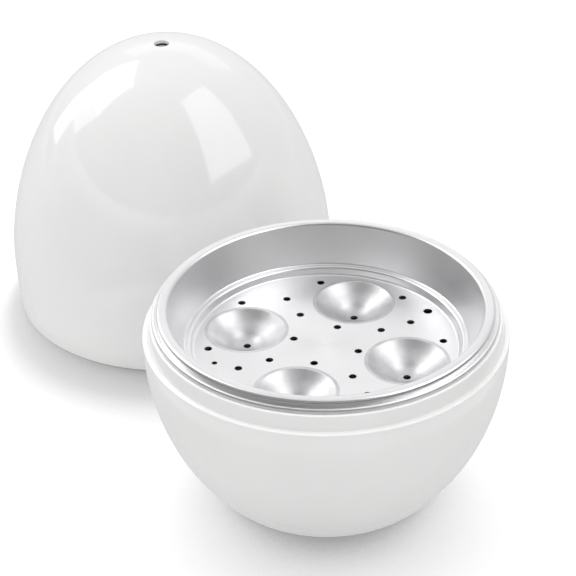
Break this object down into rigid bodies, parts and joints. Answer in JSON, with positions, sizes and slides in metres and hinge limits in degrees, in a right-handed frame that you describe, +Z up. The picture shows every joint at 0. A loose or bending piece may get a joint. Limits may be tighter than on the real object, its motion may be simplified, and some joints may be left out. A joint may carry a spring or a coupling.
{
  "type": "microwave egg cooker",
  "caption": "Egg-shaped microwave steamer for eggs: domed lid with a vent, beside a bowl with a metal water pan and a perforated tray with egg cups.",
  "frame": {"origin": "middle of the bowl's flat foot, on the surface that the object stands on", "axes": "+Z up along the bowl's axis; -Y towards the viewer of the picture; the lid stands mouth down behind the bowl and to its left, at -X and +Y"},
  "size_m": [0.2097, 0.2858, 0.1232],
  "materials": {
    "bowl_plastic": "glossy white moulded plastic",
    "lid_plastic": "glossy white moulded plastic",
    "pan_metal": "bright spun aluminium",
    "tray_metal": "bright pressed aluminium with a fine grain",
    "liner_metal": "bright spun aluminium"
  },
  "bodies": {
    "root": {"base_bowl": "bowl_plastic", "water_pan": "pan_metal", "egg_tray": "tray_metal", "lid_shell": "lid_plastic", "lid_liner": "liner_metal"}
  },
  "joints": []
}
